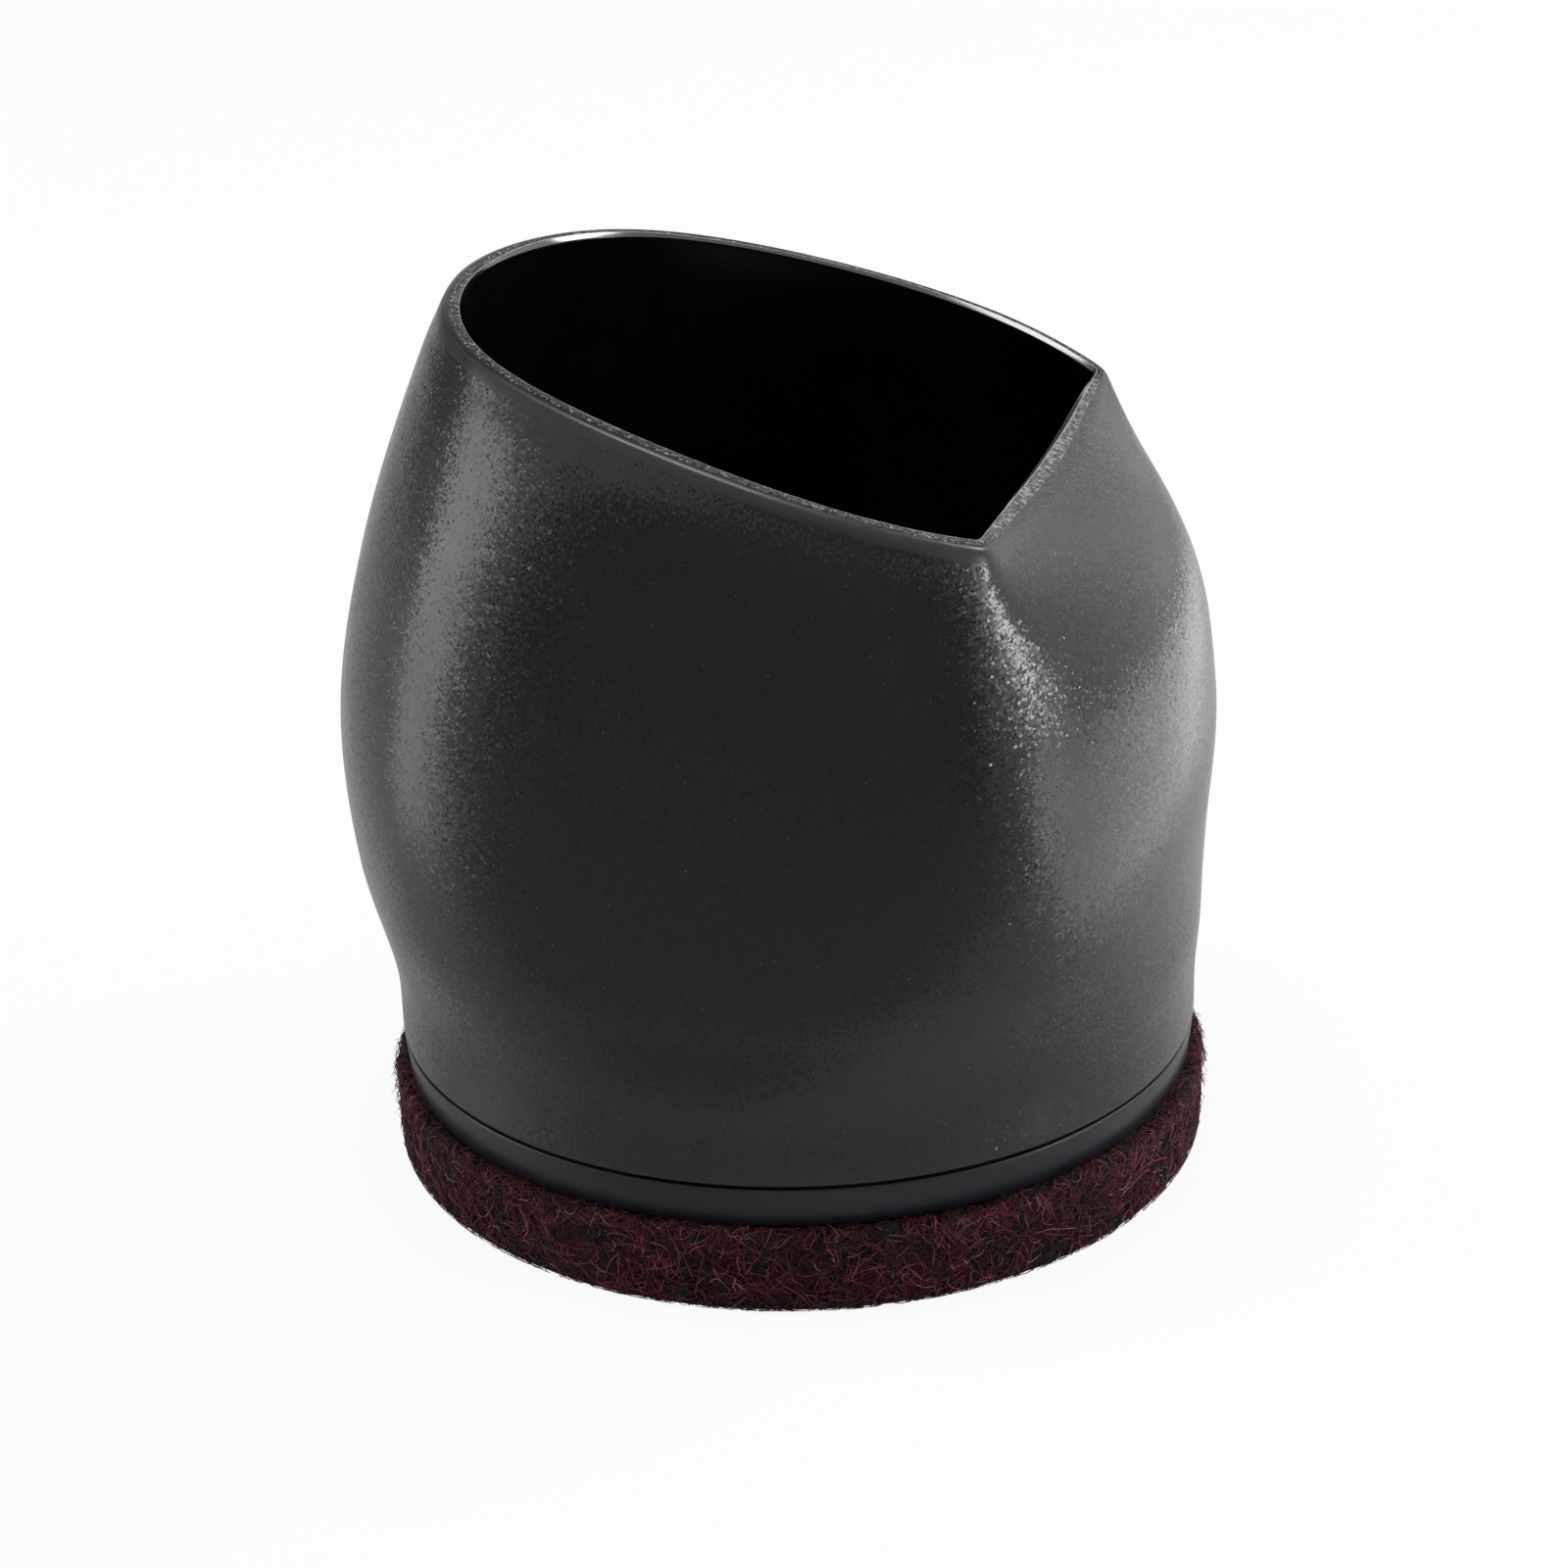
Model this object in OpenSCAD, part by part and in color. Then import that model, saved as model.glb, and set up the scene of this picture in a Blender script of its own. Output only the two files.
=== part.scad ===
// Caster cup: a soft moulded cup that a chair caster drops into.
// It stands on a rigid base plate with a thick felt pad glued underneath.
// Millimetres, +Z up. The origin is the centre of the felt's underside.
// The low side of the slanted mouth faces +X, and the cup is alike on both sides of the XZ plane.

/* [Felt pad] */
// Diameter of the felt pad
felt_d = 64; // [56:1:80]
// Thickness of the felt pad
felt_t = 6.5; // [3:0.5:12]
// Bevel on the felt pad's two edges
felt_edge = 0.6; // [0.2:0.1:1.2]

/* [Adhesive film] */
// Thickness of the double-sided film between felt and plate
film_t = 0.3; // [0.1:0.1:1]
// How far the film stays in from the plate's lower edge
film_inset = 0.8; // [0.2:0.1:4]

/* [Base plate] */
// Diameter of plate and cup where they meet at the parting line
base_d = 62.8; // [54:0.2:76]
// Height of the plate's visible band
band_h = 3.3; // [2:0.1:8]
// How much the band draws in towards the felt, on the radius
band_draft = 0.4; // [0:0.1:1.5]
// Height of the spigot that stands up inside the cup
spigot_h = 5; // [4:0.5:9]
// Thickness of the spigot's ring
spigot_t = 2; // [1:0.1:4]
// Bevel that leads the spigot into the cup
spigot_lead = 0.5; // [0.1:0.1:0.9]

/* [Snap fit] */
// Gap between the spigot and the cup all round
fit_gap = 0.15; // [0.1:0.05:0.4]
// How far the cup's snap bead stands in from its wall
bead_depth = 0.6; // [0.3:0.1:0.9]
// Height of the snap bead
bead_h = 1.8; // [1:0.1:2.4]
// Height of the snap bead's middle above the parting line
bead_rise = 2.2; // [1.6:0.1:2.8]
// Depth of the fine groove along the parting line
groove = 0.3; // [0.1:0.1:0.8]

/* [Cup wall] */
// Thickness of the cup's wall
wall = 1.7; // [1:0.1:3]
// Bevel on the outer edge of the rim
rim_bevel = 0.6; // [0.2:0.1:0.9]
// Tilt of the rim, lowest on the +X side
rim_tilt = 15.3; // [0:0.1:24]
// How far the rim bows out of a flat cut, at the radius of the base
rim_bow = 0.85; // [0:0.05:2]

/* [Levels of the cup] */
// From the parting line up to the top of the straight skirt
skirt_h = 4.7; // [3:0.1:8]
// From the skirt up to the lower level
lower_h = 11; // [7:0.1:16]
// From the lower level up to the belly
belly_h = 11; // [7:0.1:16]
// From the belly up to the shoulder
shoulder_h = 12.6; // [8:0.1:18]
// From the shoulder up to the mouth, where the rim crosses the axis
mouth_h = 13.1; // [8:0.1:18]
// From the mouth up to the crest, which the rim's high side stays under
crest_h = 9.4; // [6:0.1:14]
// From the skirt up to where the flattened sides are fully shaped
face_h = 7; // [4:0.1:12]

/* [Round body] */
// How far the round body stands out from the base's radius at the top of the skirt
round_skirt = 0.1; // [-1:0.1:2]
// How far it stands out at the lower level
round_lower = 2.5; // [0:0.1:5]
// How far it stands out at the belly
round_belly = 3.1; // [0.5:0.1:6]
// How far it stands out at the shoulder
round_shoulder = 0.7; // [-2:0.1:3]
// How far it stands out at the mouth, below zero where it draws in
round_mouth = -3.9; // [-7:0.1:-1]
// How far it stands out at the crest
round_crest = -8; // [-11:0.1:-5]

/* [Flattened sides] */
// How far the two flattened sides stand out from the base's radius at the skirt
side_skirt = 1.7; // [0.5:0.1:5]
// How far they stand out at the lower level
side_lower = 0.5; // [-1:0.1:3]
// How far they stand out at the belly
side_belly = -0.6; // [-4:0.1:1]
// How far they stand out at the shoulder
side_shoulder = -1.9; // [-5:0.1:0]
// How far they stand out at the mouth
side_mouth = -4.8; // [-8:0.1:-2]
// How far they stand out at the crest
side_crest = -14.1; // [-18:0.1:-10]
// Sharpness of the corners between the sides and the round body, at the base
side_corner_base = 19; // [8:1:40]
// Sharpness of the same corners at the crest
side_corner_crest = 8; // [6:0.5:40]

/* [Flattened front] */
// How far the middle of the front face stands out from the base's radius at the skirt
front_skirt = -0.1; // [-0.6:0.1:0.1]
// How far it stands out at the lower level
front_lower = 0.6; // [-1:0.1:2.4]
// How far it stands out at the belly
front_belly = 1.1; // [-1:0.1:3]
// How far it stands out at the shoulder
front_shoulder = -2.2; // [-5:0.1:0]
// How far it stands out at the mouth
front_mouth = -16.6; // [-18:0.1:-12]
// How far it stands out at the crest
front_crest = -24.4; // [-26:0.1:-19]
// Angle round the axis from the middle of the front face to its corners, at the belly
half_belly = 41; // [36:0.5:48]
// The same angle at the mouth
half_mouth = 47; // [40:0.5:54]
// Sharpness of the front face's corners on the outside
front_corner = 48; // [20:1:80]
// How many times sharper these corners are on the inside of the wall
inner_gain = 4; // [1:0.5:5]
// How far the front face is drawn in where its corners are fully shaped
front_ease = 2; // [0.5:0.1:4]

/* [Hidden] */
$fn = 96;

// Heights from the floor up
film_z = felt_t;
plate_z = film_z + film_t;
parting_z = plate_z + band_h;
bead_z = parting_z + bead_rise;
spigot_z = parting_z + spigot_h;
skirt_z = parting_z + skirt_h;
lower_z = skirt_z + lower_h;
belly_z = lower_z + belly_h;
shoulder_z = belly_z + shoulder_h;
mouth_z = shoulder_z + mouth_h;
crest_z = mouth_z + crest_h;

// Radii that the pieces share
base_r = base_d / 2;
cup_bore_r = base_r - wall;
spigot_r = cup_bore_r - fit_gap;

// The cup's levels, and how far its three faces lie from the axis at each of them
levels = [parting_z, skirt_z, lower_z, belly_z, shoulder_z, mouth_z, crest_z];
round_out = [0, round_skirt, round_lower, round_belly, round_shoulder, round_mouth, round_crest];
side_out = [side_skirt, side_skirt, side_lower, side_belly, side_shoulder, side_mouth, side_crest];
front_out = [0, front_skirt, front_lower, front_belly, front_shoulder, front_mouth, front_crest];
round_face = [for (out = round_out) base_r + out];
side_face = [for (out = side_out) base_r + out];
front_face = [for (out = front_out) base_r + out];

// How finely the cup's wall is divided, with more steps across the front and its corners
full_turn = 360;
front_span = full_turn / 3;
rest_span = full_turn - front_span;
front_steps = 60;
rest_steps = 40;
outer_rings = 18;
inner_rings = 14;
rim_rounds = 14;
angles = concat(
    [for (k = [0 : front_steps - 1]) front_span * (k / front_steps - 1 / 2)],
    [for (k = [0 : rest_steps - 1]) front_span / 2 + rest_span * k / rest_steps]
);

function mix(low, high, share) = low + (high - low) * share;

// A share that eases from 0 to 1 without a kink at either end
function ease(share) = let (s = min(max(share, 0), 1)) s * s * (3 - 2 * s);

// The pair of levels that a height lies between
function level_below(z, i = 0) =
    i >= len(levels) - 2 || z <= levels[i + 1] ? i : level_below(z, i + 1);

function gap_above(i) = levels[i + 1] - levels[i];

function rise(face, i) = (face[i + 1] - face[i]) / gap_above(i);

// Slope of a face at a level, weighed between the spans below and above it
function slope(face, i) =
    i == 0 ? rise(face, 0)
    : i == len(levels) - 1 ? rise(face, i - 1)
    : (rise(face, i - 1) * gap_above(i) + rise(face, i) * gap_above(i - 1))
        / (gap_above(i) + gap_above(i - 1));

// Distance of a face from the axis at any height, on a smooth curve through its levels
function face_at(face, z) =
    let (
        i = level_below(z),
        h = gap_above(i),
        u = (z - levels[i]) / h
    )
    face[i] * (1 + 2 * u) * (1 - u) * (1 - u)
        + slope(face, i) * h * u * (1 - u) * (1 - u)
        + face[i + 1] * u * u * (3 - 2 * u)
        + slope(face, i + 1) * h * u * u * (u - 1);

// Angle round the axis from the middle of the front face to its corners
function front_half(z) =
    mix(half_belly, half_mouth, (z - belly_z) / (mouth_z - belly_z));

// The front face as one over its distance from the axis. It bends so that it meets
// the round body at its corners, however far its middle is drawn in.
function front_part(a, z, front_r, round_r) =
    cos(a) > 0 ? pow(cos(a), ln(front_r / round_r) / ln(cos(front_half(z)))) / front_r : 0;

// Distance from the axis to the wall in one direction: the round body cut by the
// two sides and the front, with rounded corners. The faces fade out towards the base.
function reach(a, z, inset) =
    let (
        side_power = mix(side_corner_base, side_corner_crest, (z - parting_z) / (crest_z - parting_z)),
        front_power = front_corner * mix(1, inner_gain, min(inset / wall, 1)),
        round_r = face_at(round_face, z) - inset,
        side_r = face_at(side_face, z) - inset,
        front_r = min(face_at(front_face, z) - inset, round_r),
        side = pow(abs(sin(a)) * round_r / side_r, side_power),
        body = pow(1 + ease((z - skirt_z) / face_h) * side, 1 / side_power) / round_r,
        front = pow(front_part(a, z, front_r, round_r) / body, front_power)
    )
    1 / (body * pow(1 + ease((round_r - front_r) / front_ease) * front, 1 / front_power));

function wall_point(a, z, inset) =
    let (r = reach(a, z, inset))
    [r * cos(a), r * sin(a), z];

// Height of the slanted rim over a point of the plan
function cut_height(p) =
    mouth_z - p[0] * tan(rim_tilt) + rim_bow * (p[1] * p[1] - p[0] * p[0]) / (base_r * base_r);

// Height at which the wall meets the rim's cut, closing in by halves
function rim_height(a, inset, z, rounds) =
    rounds == 0 ? z
    : rim_height(a, inset, (z + cut_height(wall_point(a, z, inset))) / 2, rounds - 1);

function rim_point(a, inset) = wall_point(a, rim_height(a, inset, mouth_z, rim_rounds), inset);

function level_ring(z, inset) = [for (a = angles) wall_point(a, z, inset)];

function rim_ring(inset) = [for (a = angles) rim_point(a, inset)];

// A ring part of the way from one height up to just below the rim
function wall_ring(low_z, drop, share, inset) = [
    for (a = angles)
        wall_point(a, mix(low_z, rim_point(a, inset)[2] - drop, share), inset)
];

// The cup's wall as one closed band of rings: up the outside, over the rim,
// down the inside past the snap bead and round under the lower edge
function cup_rings() = concat(
    [for (k = [0 : outer_rings]) wall_ring(parting_z + groove, rim_bevel, k / outer_rings, 0)],
    [rim_ring(rim_bevel)],
    [for (k = [inner_rings : -1 : 0]) wall_ring(spigot_z, 0, k / inner_rings, wall)],
    [
        level_ring(bead_z + bead_h / 2, wall),
        level_ring(bead_z, wall + bead_depth),
        level_ring(bead_z - bead_h / 2, wall),
        level_ring(parting_z, wall),
        level_ring(parting_z, groove)
    ]
);

// Joins neighbouring rings with triangles and closes the last ring to the first
module ring_solid(rings) {
    around = len(rings[0]);
    count = len(rings);
    polyhedron(
        points = [for (ring = rings) each ring],
        faces = [
            for (k = [0 : count - 1], j = [0 : around - 1])
                let (
                    p = k * around + j,
                    q = k * around + (j + 1) % around,
                    r = ((k + 1) % count) * around + j,
                    s = ((k + 1) % count) * around + (j + 1) % around
                )
                each [[p, r, q], [q, r, s]]
        ]
    );
}

// Soft moulded cup with the slanted mouth
module cup_shell() {
    color("#1b1b1c")
        ring_solid(cup_rings());
}

// Rigid plate: the band that shows, the floor that the wheels stand on, and the spigot
module base_plate() {
    spigot_in_r = spigot_r - spigot_t;
    color("#2b2d32")
        rotate_extrude()
            polygon([
                [0, plate_z],
                [base_r - band_draft, plate_z],
                [base_r, parting_z - groove],
                [base_r - groove, parting_z],
                [spigot_r, parting_z],
                [spigot_r, bead_z - bead_h / 2 - fit_gap],
                [spigot_r - bead_depth, bead_z - fit_gap],
                [spigot_r - bead_depth, bead_z + fit_gap],
                [spigot_r, bead_z + bead_h / 2 + fit_gap],
                [spigot_r, spigot_z - spigot_lead],
                [spigot_r - spigot_lead, spigot_z],
                [spigot_in_r, spigot_z],
                [spigot_in_r, parting_z],
                [0, parting_z]
            ]);
}

// Double-sided film that holds the felt to the plate
module adhesive_film() {
    color("#c9bfa6")
        translate([0, 0, film_z])
            cylinder(r = base_r - band_draft - film_inset, h = film_t);
}

// Thick needle felt that slides on the floor
module felt_pad() {
    felt_r = felt_d / 2;
    color("#4b1a20")
        rotate_extrude()
            polygon([
                [0, 0],
                [felt_r - felt_edge, 0],
                [felt_r, felt_edge],
                [felt_r, felt_t - felt_edge],
                [felt_r - felt_edge, felt_t],
                [0, felt_t]
            ]);
}

cup_shell();
base_plate();
adhesive_film();
felt_pad();
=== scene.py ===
import math

import bpy
import numpy as np
from mathutils import Matrix, Vector


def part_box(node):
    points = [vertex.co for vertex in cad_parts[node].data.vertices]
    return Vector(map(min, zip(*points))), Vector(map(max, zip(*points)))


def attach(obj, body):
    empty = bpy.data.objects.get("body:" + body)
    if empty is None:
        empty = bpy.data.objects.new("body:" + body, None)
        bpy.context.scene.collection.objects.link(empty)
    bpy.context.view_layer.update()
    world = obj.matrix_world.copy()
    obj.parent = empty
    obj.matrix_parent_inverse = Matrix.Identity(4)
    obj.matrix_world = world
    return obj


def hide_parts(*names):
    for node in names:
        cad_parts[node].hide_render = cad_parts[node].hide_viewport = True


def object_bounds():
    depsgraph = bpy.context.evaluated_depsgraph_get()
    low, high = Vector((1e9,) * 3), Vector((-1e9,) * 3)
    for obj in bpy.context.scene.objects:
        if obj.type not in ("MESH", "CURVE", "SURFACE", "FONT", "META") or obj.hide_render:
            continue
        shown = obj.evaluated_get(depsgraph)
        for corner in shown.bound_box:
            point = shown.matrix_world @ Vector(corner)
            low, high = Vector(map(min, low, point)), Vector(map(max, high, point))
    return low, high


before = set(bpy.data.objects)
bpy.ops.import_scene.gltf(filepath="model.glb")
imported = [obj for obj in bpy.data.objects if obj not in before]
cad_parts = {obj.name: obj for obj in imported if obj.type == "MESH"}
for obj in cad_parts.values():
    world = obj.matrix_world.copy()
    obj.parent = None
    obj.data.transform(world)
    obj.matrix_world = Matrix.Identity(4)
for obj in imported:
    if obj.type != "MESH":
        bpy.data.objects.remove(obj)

cad_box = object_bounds()

# Lengths are in millimetres, apart from those of the stage and its lamps, which are in metres
MM = 0.001

# Keeps divisions and powers away from zero
TINY = 1e-9

# Sizes that the frame gives
felt_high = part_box("felt_pad")[1] / MM
plate_low, plate_high = (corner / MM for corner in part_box("base_plate"))
cup_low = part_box("cup_shell")[0] / MM
FELT_R = felt_high.x
FELT_T = felt_high.z
BASE_R = plate_high.x
PLATE_Z = plate_low.z
PARTING_Z = cup_low.z
SPIGOT_Z = plate_high.z

# Cup: its levels, by their steps up from the parting line, and how far each face stands out
# from the base's radius at each of them
LEVELS = PARTING_Z + np.cumsum([0, 4.7, 11, 11, 12.6, 13.1, 9.4])
ROUND_FACE = BASE_R + np.array([0, 0.1, 2.5, 3.1, 0.7, -3.9, -8])
SIDE_FACE = BASE_R + np.array([1.7, 1.7, 0.5, -0.6, -1.9, -4.8, -14.1])
FRONT_FACE = BASE_R + np.array([0, -0.1, 0.6, 1.1, -2.2, -16.6, -24.4])
SKIRT_Z = LEVELS[1]
BELLY_Z = LEVELS[3]
MOUTH_Z = LEVELS[5]

# Height over which the flat sides take shape, half the front face's angle at two levels, how
# sharp the corners are (the sides' at base and crest, the front's outside and its gain inside),
# and how far the front face lies inside the round body where it first shows in full
FACE_H = 7
HALF_BELLY = math.radians(41)
HALF_MOUTH = math.radians(47)
SIDE_CORNER = (19, 8)
FRONT_CORNER = 48
INNER_GAIN = 4
FRONT_EASE = 2

# Wall, slanted rim, parting line and the snap bead that holds the plate
WALL = 1.7
RIM_TILT = math.radians(15.3)
RIM_BOW = 0.85
RIM_HALVINGS = 16
GROOVE = 0.3
BEAD_DEPTH = 0.6
BEAD_H = 1.8
BEAD_RISE = 2.2
FIT_GAP = 0.15

# The skin keeps this far inside the solid that it stands for
SKIN_INSET = 0.03

# How finely the meshes are divided
CUP_STEPS = 680
OUTER_RINGS = 84
INNER_RINGS = 22
PLATE_STEPS = 360
FELT_STEPS = 720
FELT_RINGS = 40

# Width of one moulded grain on the cup, and how far it tilts: most a little, a few more
GRAIN = 0.17
GRAIN_TILT = 0.42
GRAIN_LEAST_TILT = 0.03

# Distance between dust specks on the cup
DUST_GAP = 1.5

# Most noise lies between these values
NOISE_LOW = 0.3
NOISE_HIGH = 0.7


# Small helpers for meshes

def ease(share):
    share = np.clip(share, 0, 1)
    return share * share * (3 - 2 * share)


def mix(low, high, share):
    return low + (high - low) * share


def around(steps):
    """Angles of even steps round the axis."""
    return np.arange(steps) * 2 * math.pi / steps


def ring_xyz(angles, radius, height):
    """Points of one ring from its radius and height, which may differ at each angle."""
    height = np.broadcast_to(height, angles.shape)
    return np.stack([radius * np.cos(angles), radius * np.sin(angles), height], axis=1)


def new_object(name, data):
    """An object for a mesh, lamp or camera, put into the scene."""
    made = bpy.data.objects.new(name, data)
    bpy.context.scene.collection.objects.link(made)
    return made


def new_piece(name, points, faces, materials, face_materials=None, stands_for=()):
    """A smooth mesh piece from points in millimetres, riding on the one body."""
    mesh = bpy.data.meshes.new(name)
    mesh.from_pydata((np.asarray(points) * MM).tolist(), [], faces)
    for material in materials:
        mesh.materials.append(material)
    if face_materials is not None:
        mesh.polygons.foreach_set("material_index", face_materials)
    mesh.polygons.foreach_set("use_smooth", [True] * len(mesh.polygons))
    mesh.update()
    piece = new_object(name, mesh)
    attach(piece, "root")
    if stands_for:
        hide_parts(*stands_for)
    return piece


def quads_between(rings, steps, closed):
    """Faces that join each ring to the next, and the last to the first if closed."""
    faces = []
    spans = rings if closed else rings - 1
    for k in range(spans):
        low = k * steps
        high = ((k + 1) % rings) * steps
        for j in range(steps):
            n = (j + 1) % steps
            faces.append((low + j, low + n, high + n, high + j))
    return faces


def capped(rings, start_z, end_z):
    """Points and faces of a row of rings, closed by a point on the axis at each end."""
    steps = len(rings[0])
    points = list(np.concatenate(rings))
    faces = quads_between(len(rings), steps, closed=False)
    first, last = len(points), len(points) + 1
    points.append(np.array([0, 0, start_z]))
    points.append(np.array([0, 0, end_z]))
    top = (len(rings) - 1) * steps
    for j in range(steps):
        n = (j + 1) % steps
        faces.append((first, n, j))
        faces.append((last, top + j, top + n))
    return points, faces


def lathe(outline, steps):
    """Points and faces of a solid of revolution whose outline starts and ends on the axis."""
    angles = around(steps)
    rings = [ring_xyz(angles, r, z) for r, z in outline[1:-1]]
    return capped(rings, outline[0][1], outline[-1][1])


# Small helpers for materials

def add_node(tree, kind, inputs=None, **settings):
    """A node with its settings, and its inputs set to values or linked to sockets."""
    made = tree.nodes.new(kind)
    for name, value in settings.items():
        setattr(made, name, value)
    for name, value in (inputs or {}).items():
        if isinstance(value, bpy.types.NodeSocket):
            tree.links.new(value, made.inputs[name])
        else:
            made.inputs[name].default_value = value
    return made


def new_material(name):
    """A material with one shader, and the object's own coordinates in metres."""
    material = bpy.data.materials.new(name)
    material.use_nodes = True
    tree = material.node_tree
    shader = tree.nodes["Principled BSDF"]
    place = add_node(tree, "ShaderNodeTexCoord").outputs["Object"]
    return material, tree, shader, place


def noise_at(tree, place, size, detail=2.0, roughness=0.5):
    """Noise whose features are about this many millimetres across."""
    return add_node(
        tree, "ShaderNodeTexNoise",
        {"Vector": place, "Scale": 1 / (size * MM), "Detail": detail, "Roughness": roughness},
    ).outputs["Fac"]


def cells_at(tree, place, size):
    """Random cells about this many millimetres across."""
    return add_node(tree, "ShaderNodeTexVoronoi", {"Vector": place, "Scale": 1 / (size * MM)})


def ramp(tree, value, stops):
    """A colour ramp with stops given as place and colour."""
    made = add_node(tree, "ShaderNodeValToRGB", {"Fac": value})
    elements = made.color_ramp.elements
    while len(elements) < len(stops):
        elements.new(0.5)
    for element, (at, colour) in zip(elements, stops):
        element.position = at
        element.color = (*colour, 1)
    return made.outputs["Color"]


def remap(tree, value, low, high):
    """Noise moved to a new range."""
    return add_node(
        tree, "ShaderNodeMapRange",
        {"Value": value, "From Min": NOISE_LOW, "From Max": NOISE_HIGH, "To Min": low, "To Max": high},
    ).outputs["Result"]


def set_bump(tree, shader, height, depth, strength):
    """Bump with a depth in millimetres."""
    bump = add_node(
        tree, "ShaderNodeBump", {"Height": height, "Distance": depth * MM, "Strength": strength}
    )
    tree.links.new(bump.outputs["Normal"], shader.inputs["Normal"])


# Materials of the cup, the plate, the film and the felt

def tilt_grains(tree, shader, place):
    """Give each moulded grain a tilt of its own, small on most grains and larger on a few."""
    grains = cells_at(tree, place, GRAIN)
    centred = add_node(
        tree, "ShaderNodeVectorMath",
        {0: grains.outputs["Color"], 1: (0.5, 0.5, 0.5)}, operation="SUBTRACT",
    )
    squared = add_node(
        tree, "ShaderNodeVectorMath",
        {0: centred.outputs[0], 1: centred.outputs[0]}, operation="DOT_PRODUCT",
    )
    tilt = add_node(
        tree, "ShaderNodeMath",
        {0: squared.outputs["Value"], 1: GRAIN_TILT, 2: GRAIN_LEAST_TILT}, operation="MULTIPLY_ADD",
    )
    level = add_node(tree, "ShaderNodeNewGeometry").outputs["Normal"]
    tilted = add_node(
        tree, "ShaderNodeVectorMath",
        {0: centred.outputs[0], 1: tilt.outputs[0], 2: level}, operation="MULTIPLY_ADD",
    )
    normal = add_node(tree, "ShaderNodeVectorMath", {0: tilted.outputs[0]}, operation="NORMALIZE")
    tree.links.new(normal.outputs[0], shader.inputs["Normal"])


def grained_vinyl():
    """Soft black vinyl with a fine moulded grain and some dust."""
    material, tree, shader, place = new_material("cup_grained_vinyl")
    tilt_grains(tree, shader, place)
    patchy = noise_at(tree, place, 6, detail=3)
    tree.links.new(remap(tree, patchy, 0.21, 0.27), shader.inputs["Roughness"])
    dust = cells_at(tree, place, DUST_GAP).outputs["Distance"]
    colour = ramp(tree, dust, [
        (0.0, (0.08, 0.08, 0.075)),
        (0.04, (0.06, 0.06, 0.056)),
        (0.055, (0.004, 0.004, 0.004)),
    ])
    tree.links.new(colour, shader.inputs["Base Color"])
    shader.inputs["Specular IOR Level"].default_value = 0.42
    return material


def smooth_vinyl():
    """The neck under the rim and the edge of the foot, where the mould left no grain."""
    material, tree, shader, place = new_material("cup_smooth_vinyl")
    soft = noise_at(tree, place, 1.5, detail=3)
    set_bump(tree, shader, soft, 0.02, 0.4)
    colour = ramp(tree, soft, [(0.3, (0.008, 0.008, 0.008)), (0.7, (0.012, 0.012, 0.0115))])
    tree.links.new(colour, shader.inputs["Base Color"])
    tree.links.new(remap(tree, soft, 0.28, 0.36), shader.inputs["Roughness"])
    shader.inputs["Specular IOR Level"].default_value = 0.4
    return material


def trimmed_vinyl():
    """The torn ridge that the trimming of the moulding left, dark with a few glints, which its bumps
    catch and its colour paints pale.
    """
    material, tree, shader, place = new_material("cup_trimmed_vinyl")
    tears_and_sheen = noise_at(tree, place, 0.42, detail=2, roughness=0.6)
    set_bump(tree, shader, tears_and_sheen, 0.3, 1.0)
    # The pale top stop paints a few glints into the colour.
    colour = ramp(tree, tears_and_sheen, [
        (0.45, (0.003, 0.003, 0.003)),
        (0.58, (0.02, 0.02, 0.0195)),
        (0.68, (0.3, 0.3, 0.29)),
    ])
    tree.links.new(colour, shader.inputs["Base Color"])
    shader.inputs["Roughness"].default_value = 0.2
    shader.inputs["Specular IOR Level"].default_value = 0.4
    return material


def rough_vinyl_painted_sheen():
    """The front of the rim, where the knife left the edge rough, with a paler colour painted as the
    sheen that this slanted, rough land catches.
    """
    material, tree, shader, place = new_material("cup_rough_vinyl_painted_sheen")
    tears_and_sheen = noise_at(tree, place, 0.45, detail=3, roughness=0.65)
    set_bump(tree, shader, tears_and_sheen, 0.2, 0.9)
    # The pale stops paint the sheen of the rough land, which is seen at a slant.
    colour = ramp(tree, tears_and_sheen, [
        (0.38, (0.006, 0.006, 0.006)),
        (0.5, (0.06, 0.06, 0.058)),
        (0.64, (0.32, 0.32, 0.31)),
    ])
    tree.links.new(colour, shader.inputs["Base Color"])
    shader.inputs["Roughness"].default_value = 0.5
    return material


def lip_painted_highlight_vinyl():
    """The thin top of the lip, painted paler than the rest as the highlight that runs along it."""
    material, tree, shader, place = new_material("cup_lip_painted_highlight")
    patchy = noise_at(tree, place, 1.2, detail=2)
    # The pale colour paints the highlight along the lip, brighter in patches.
    colour = ramp(tree, patchy, [(0.35, (0.16, 0.16, 0.157)), (0.65, (0.4, 0.4, 0.39))])
    tree.links.new(colour, shader.inputs["Base Color"])
    shader.inputs["Roughness"].default_value = 0.28
    return material


def polished_vinyl():
    """The bevel inside the lip, smooth and shiny enough to mirror the lamps."""
    material, tree, shader, place = new_material("cup_polished_vinyl")
    waves = noise_at(tree, place, 2, detail=2)
    set_bump(tree, shader, waves, 0.02, 0.3)
    colour = ramp(tree, waves, [(0.3, (0.004, 0.004, 0.004)), (0.7, (0.012, 0.012, 0.0118))])
    tree.links.new(colour, shader.inputs["Base Color"])
    shader.inputs["Roughness"].default_value = 0.13
    shader.inputs["Specular IOR Level"].default_value = 0.9
    return material


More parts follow.
